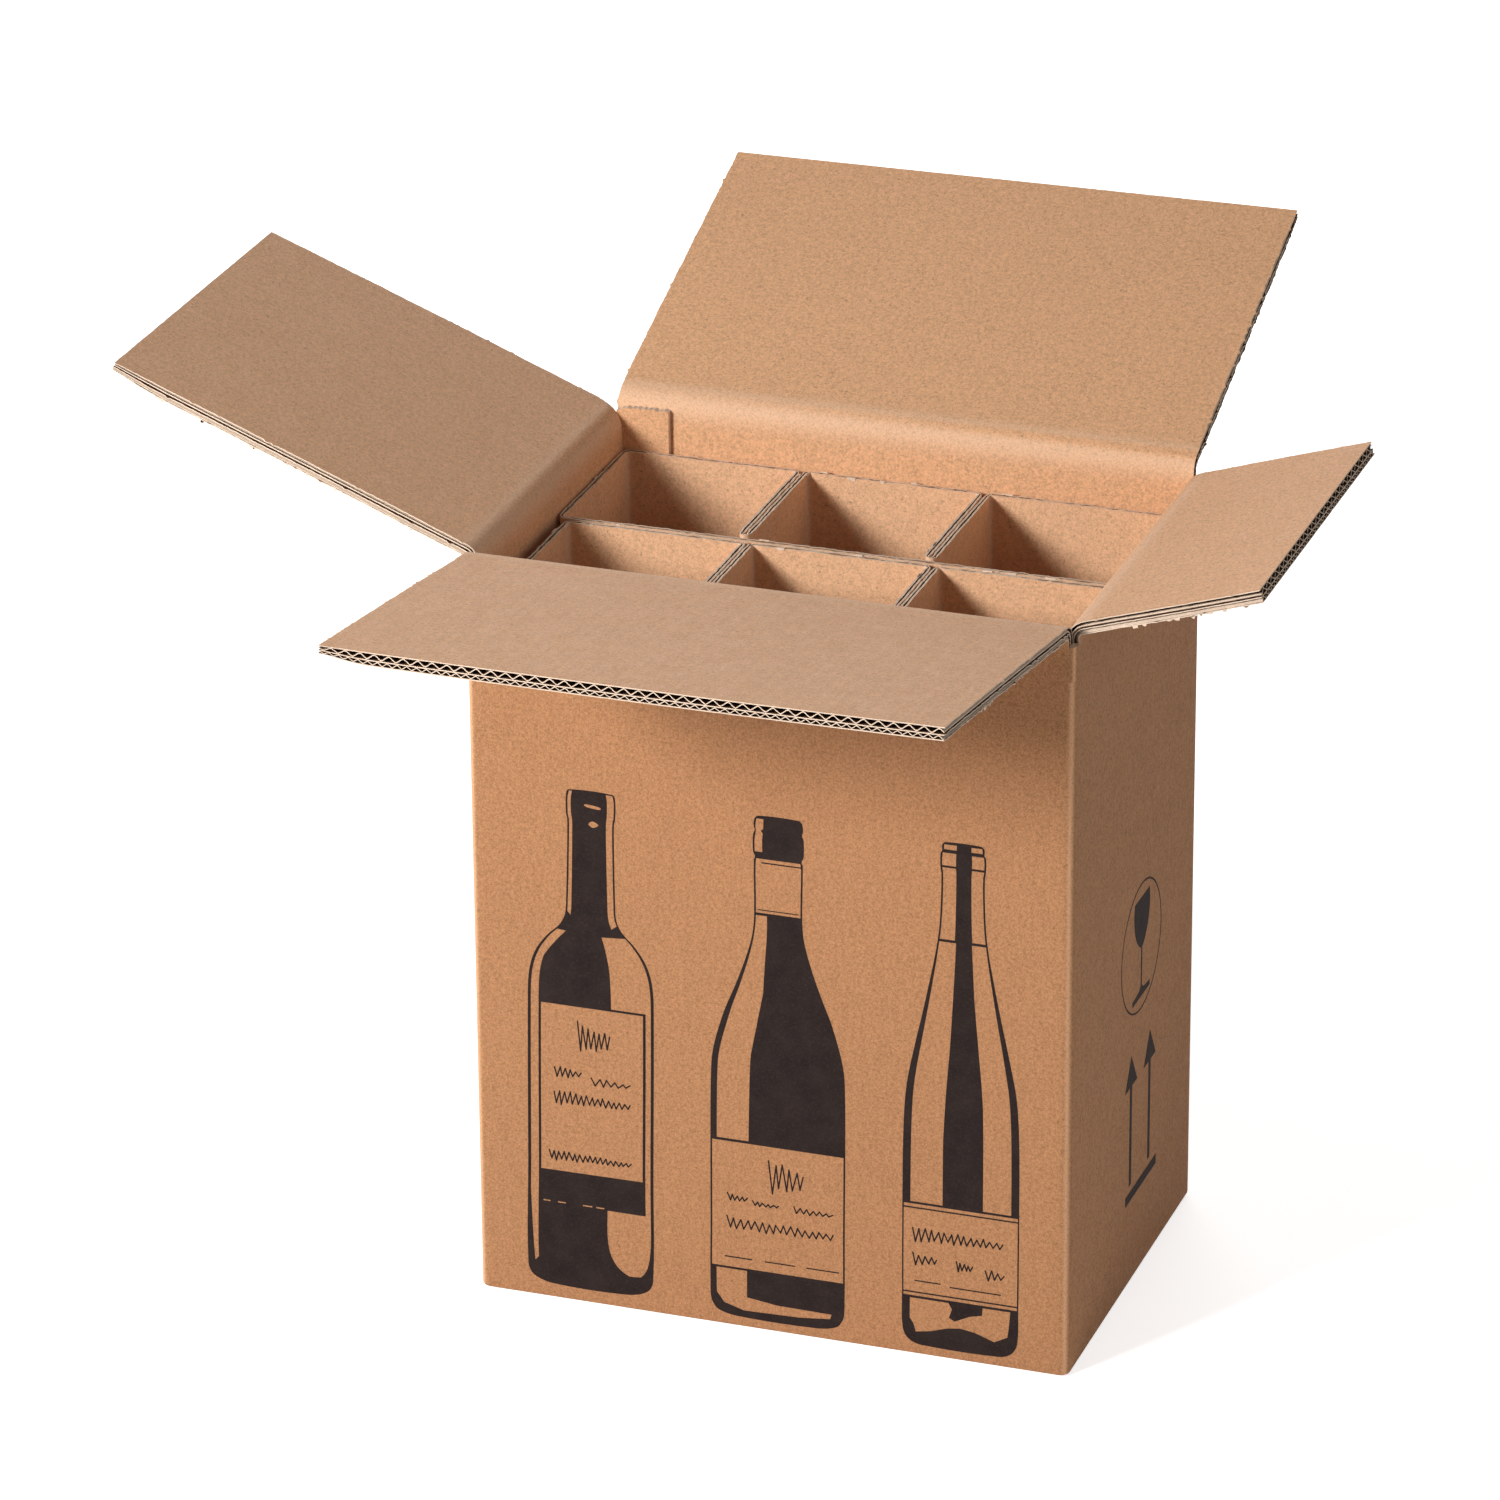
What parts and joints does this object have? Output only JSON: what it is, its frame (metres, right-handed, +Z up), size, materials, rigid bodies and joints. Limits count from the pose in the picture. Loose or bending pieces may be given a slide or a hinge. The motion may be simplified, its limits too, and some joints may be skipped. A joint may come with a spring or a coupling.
{
  "type": "bottle shipping box",
  "caption": "Tall slotted carton of double-wall corrugated board with hinged top flaps, glued bottom and folded divider strips that make bottle cells.",
  "frame": {"origin": "middle of the carton's base, on the surface that it stands on", "axes": "+Z up out of the mouth, -Y out of the printed long front, +X out of the short side whose flap is short"},
  "size_m": [0.5861, 0.5907, 0.4748],
  "materials": {
    "carton_board": "brown kraft liner, matt, over double-wall flutes",
    "divider_board": "light kraft liner, matt, over a single flute"
  },
  "bodies": {
    "carton": {"carton_body": "carton_board", "divider_back_row": "divider_board", "divider_front_row": "divider_board"},
    "front_flap": {"flap_front": "carton_board"},
    "back_flap": {"flap_back": "carton_board"},
    "left_flap": {"flap_left": "carton_board"},
    "right_flap": {"flap_right": "carton_board"}
  },
  "joints": [
    {"name": "front_flap_fold", "type": "hinge", "parent": "carton", "child": "front_flap", "pos_m": [0, -0.10305, 0.3986], "axis": [1, 0, 0], "range_deg": [-172, 13]},
    {"name": "back_flap_fold", "type": "hinge", "parent": "carton", "child": "back_flap", "pos_m": [0, 0.10305, 0.4055], "axis": [-1, 0, 0], "range_deg": [-160, 25]},
    {"name": "left_flap_fold", "type": "hinge", "parent": "carton", "child": "left_flap", "pos_m": [-0.15335, 0, 0.395], "axis": [0, -1, 0], "range_deg": [-158.5, 26.5]},
    {"name": "right_flap_fold", "type": "hinge", "parent": "carton", "child": "right_flap", "pos_m": [0.15335, 0, 0.395], "axis": [0, 1, 0], "range_deg": [-162.5, 22.5]}
  ]
}
